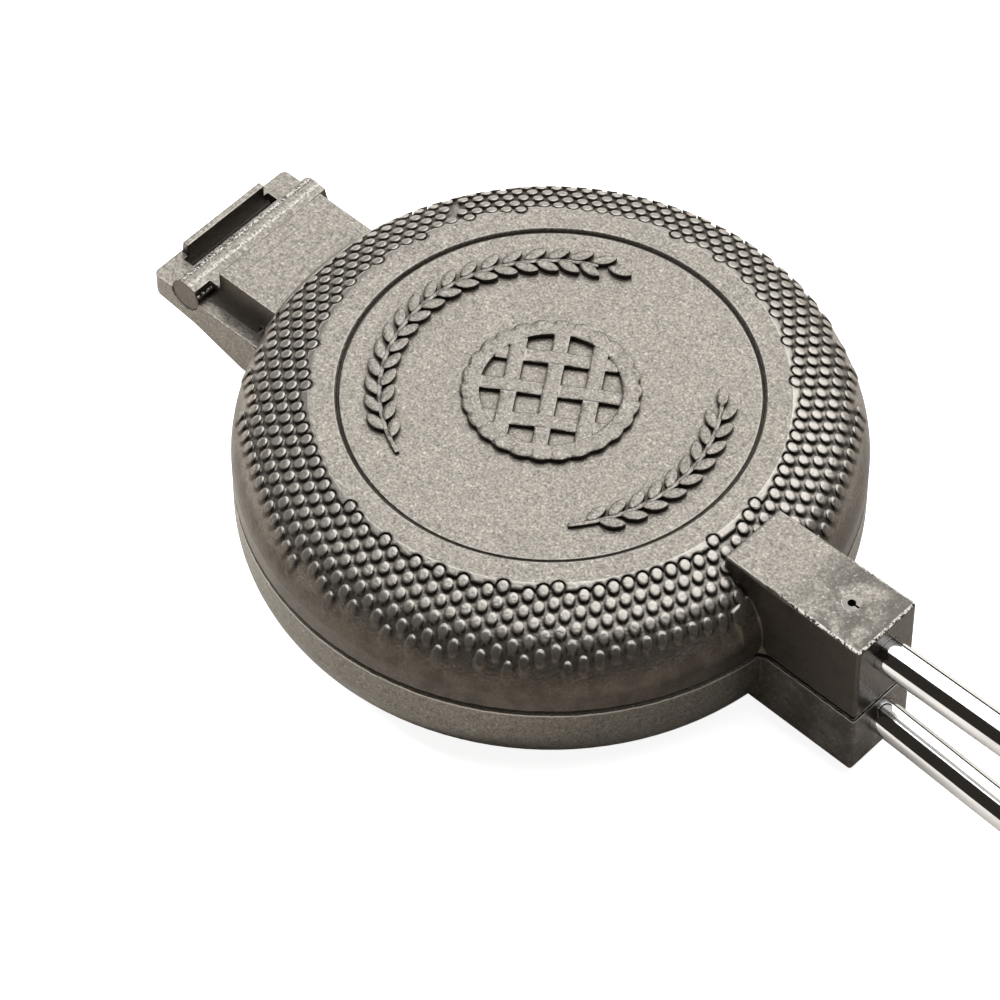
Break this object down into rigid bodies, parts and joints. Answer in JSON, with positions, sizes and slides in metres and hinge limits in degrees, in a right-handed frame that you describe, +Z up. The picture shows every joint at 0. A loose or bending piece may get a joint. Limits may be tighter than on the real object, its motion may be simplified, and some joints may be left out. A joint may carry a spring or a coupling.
{
  "type": "pie iron",
  "caption": "Round hinged cast-iron cooking mould with pebbled outside, two long chromed rods, turned wooden grips and a swinging wire latch.",
  "frame": {"origin": "centre of the lower bowl's flat underside, on the surface that the iron rests on", "axes": "+X from the hinge along the rods to the grips, +Z up, square to the plane where the halves meet"},
  "size_m": [0.7112, 0.1118, 0.0394],
  "materials": {
    "cast_iron": "sand-cast, bare grey iron with bright worn edges",
    "chrome": "polished chrome plate",
    "spring_steel": "dull spring steel",
    "wire": "zinc-plated drawn wire",
    "wood": "oiled turned hardwood"
  },
  "bodies": {
    "lower_half": {"lower_casting": "cast_iron", "lower_rod": "chrome", "lower_spring_pin": "spring_steel", "lower_grip": "wood", "lower_ferrule": "chrome", "lower_grip_nail": "spring_steel"},
    "upper_half": {"upper_casting": "cast_iron", "upper_rod": "chrome", "upper_spring_pin": "spring_steel", "upper_grip": "wood", "upper_ferrule": "chrome", "upper_grip_nail": "spring_steel"},
    "latch": {"latch_hook": "wire"}
  },
  "joints": [
    {"name": "lid_hinge", "type": "hinge", "parent": "lower_half", "child": "upper_half", "pos_m": [-0.0735, 0, 0.0182], "axis": [0, -1, 0], "range_deg": [0, 108]},
    {"name": "latch_swing", "type": "hinge", "parent": "lower_half", "child": "latch", "pos_m": [0.5, 0, 0.0096], "axis": [-1, 0, 0], "range_deg": [0, 98.3]}
  ]
}
